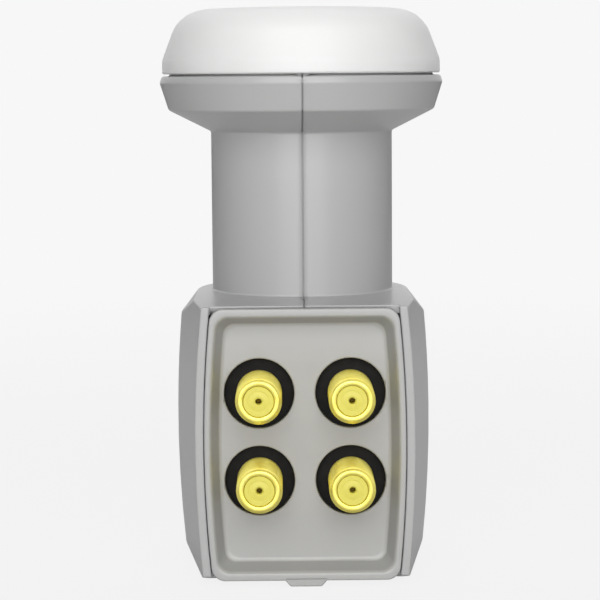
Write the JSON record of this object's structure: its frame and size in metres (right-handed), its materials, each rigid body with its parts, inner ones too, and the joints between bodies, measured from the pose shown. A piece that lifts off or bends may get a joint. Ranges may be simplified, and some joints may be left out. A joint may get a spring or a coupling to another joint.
{
  "type": "satellite lnb",
  "caption": "Satellite dish receiver head with a white horn cap, round clamp neck and a grey barrel-shaped body whose recessed front carries threaded F cable ports.",
  "frame": {"origin": "middle of the neck, on its axis", "axes": "+Z along the neck towards the white cap, -Y out of the ports, +X to the right seen from the ports"},
  "size_m": [0.0624, 0.0769, 0.1203],
  "materials": {
    "white_cap": "satin",
    "grey_shell": "satin",
    "grey_tray": "satin",
    "gold_plate": "polished",
    "insulator": "matt",
    "rubber": "matt",
    "casting": "as cast",
    "board": "satin",
    "chips": "matt",
    "steel": "satin",
    "pins": "satin",
    "bush": "matt"
  },
  "bodies": {
    "root": {"horn_cap": "white_cap", "left_shell": "grey_shell", "right_shell": "grey_shell", "connector_tray": "grey_tray", "port_gasket": "rubber", "cast_chassis": "casting", "shield_lid": "casting", "lid_gasket": "rubber", "lid_screws": "steel", "circuit_board": "board", "board_screws": "steel", "straight_probe": "pins", "bent_probe": "pins", "straight_probe_bush": "bush", "bent_probe_bush": "bush", "reflector_pin": "pins", "low_noise_transistors": "chips", "converter_chip": "chips", "switch_chip": "chips", "crystal": "steel", "regulators": "chips", "port_1_body": "gold_plate", "port_1_insulator": "insulator", "port_1_contact": "pins", "port_2_body": "gold_plate", "port_2_insulator": "insulator", "port_2_contact": "pins", "port_3_body": "gold_plate", "port_3_insulator": "insulator", "port_3_contact": "pins", "port_4_body": "gold_plate", "port_4_insulator": "insulator", "port_4_contact": "pins"}
  },
  "joints": []
}
